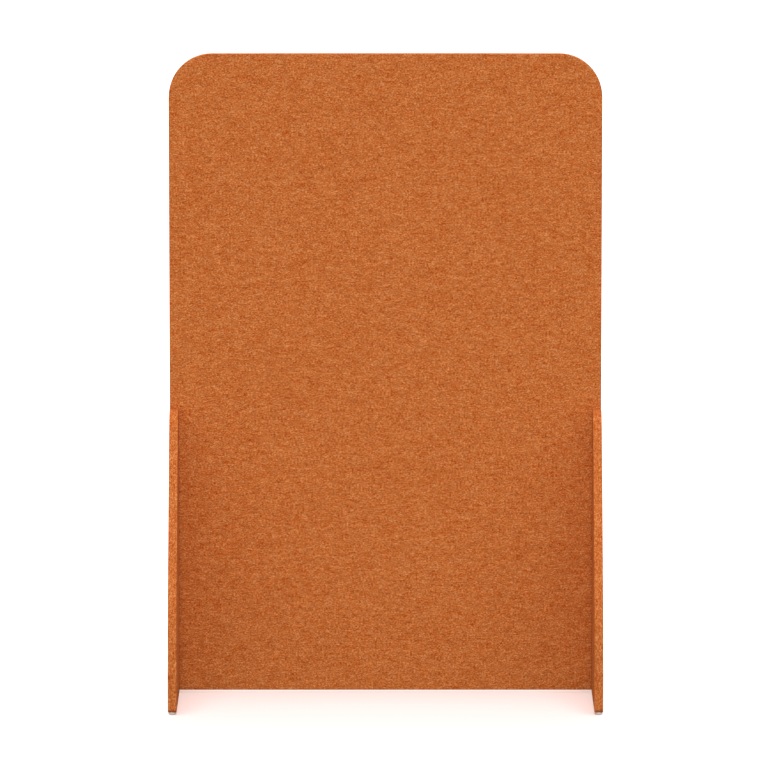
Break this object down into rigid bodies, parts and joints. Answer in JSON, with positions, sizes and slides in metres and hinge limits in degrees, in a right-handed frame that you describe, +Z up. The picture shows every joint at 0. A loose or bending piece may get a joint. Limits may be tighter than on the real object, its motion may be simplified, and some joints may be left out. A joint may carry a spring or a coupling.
{
  "type": "acoustic divider screen",
  "caption": "Freestanding felt divider screen: an upright panel with rounded top corners, its notched lower corners seated on two sloping felt fins that stand on low round glides.",
  "frame": {"origin": "on the floor under the middle of the screen", "axes": "+Z up, +Y to the back and across the panel's thickness, +X to the right as seen from the front"},
  "size_m": [1.2, 0.672, 1.796],
  "materials": {
    "felt": "needled polyester felt board, heathered orange, matte",
    "zinc_steel": "bright zinc plated",
    "beech": "turned and fluted, bare",
    "glide_plastic": "moulded, satin",
    "nylon": "moulded, natural"
  },
  "bodies": {
    "root": {"panel_front_sheet": "felt", "panel_back_sheet": "felt", "left_fin_outer_sheet": "felt", "left_fin_inner_sheet": "felt", "right_fin_outer_sheet": "felt", "right_fin_inner_sheet": "felt", "left_felt_plugs": "felt", "right_felt_plugs": "felt", "left_joint_bolts": "zinc_steel", "right_joint_bolts": "zinc_steel", "left_bolt_washers": "zinc_steel", "right_bolt_washers": "zinc_steel", "left_anchor_blocks": "zinc_steel", "right_anchor_blocks": "zinc_steel", "glide_screws": "zinc_steel", "left_dowels": "beech", "right_dowels": "beech", "front_left_glide": "glide_plastic", "front_right_glide": "glide_plastic", "rear_left_glide": "glide_plastic", "rear_right_glide": "glide_plastic", "glide_anchors": "nylon"}
  },
  "joints": []
}
